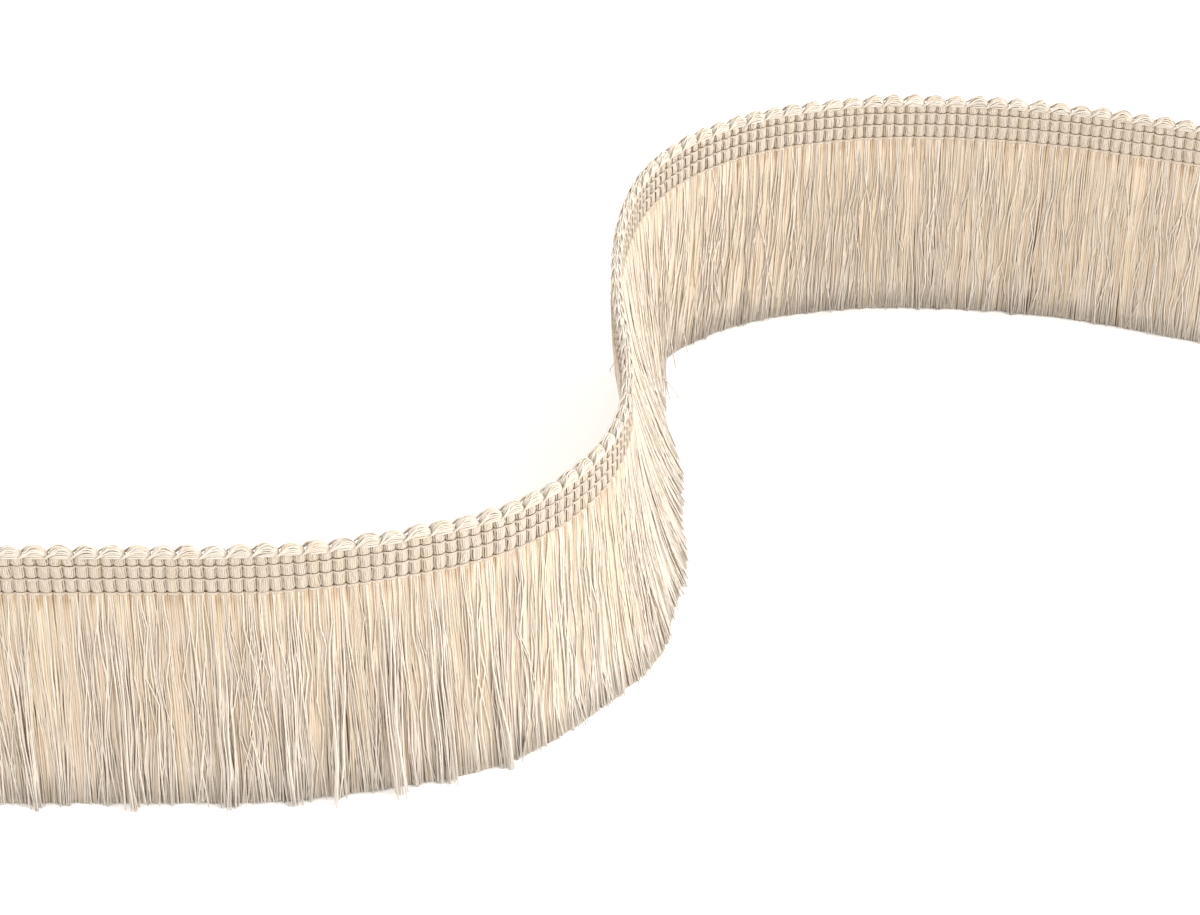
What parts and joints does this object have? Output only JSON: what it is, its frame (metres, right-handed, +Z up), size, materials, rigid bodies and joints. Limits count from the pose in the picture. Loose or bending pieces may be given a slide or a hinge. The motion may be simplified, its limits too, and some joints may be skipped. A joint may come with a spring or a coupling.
{
  "type": "fringe trim",
  "caption": "Length of woven fringe trim: a narrow ribbed heading with a row of yarn loops on top and a long cut yarn skirt, standing on its yarn ends in an S curve.",
  "frame": {"origin": "on the floor that the yarn ends stand on, under the middle of the trim's box", "axes": "+X along the long side of the S, from the near run's free end to the far run's; +Y from the near run to the far run; +Z up, from the yarn ends to the loops"},
  "size_m": [0.2952, 0.1886, 0.064],
  "materials": {
    "heading": "matte woven yarn",
    "skirt": "matte plied yarn"
  },
  "bodies": {
    "root": {"heading": "heading", "skirt_01": "skirt", "skirt_02": "skirt", "skirt_03": "skirt", "skirt_04": "skirt", "skirt_05": "skirt", "skirt_06": "skirt", "skirt_07": "skirt", "skirt_08": "skirt", "skirt_09": "skirt", "skirt_10": "skirt", "skirt_11": "skirt", "skirt_12": "skirt"}
  },
  "joints": []
}
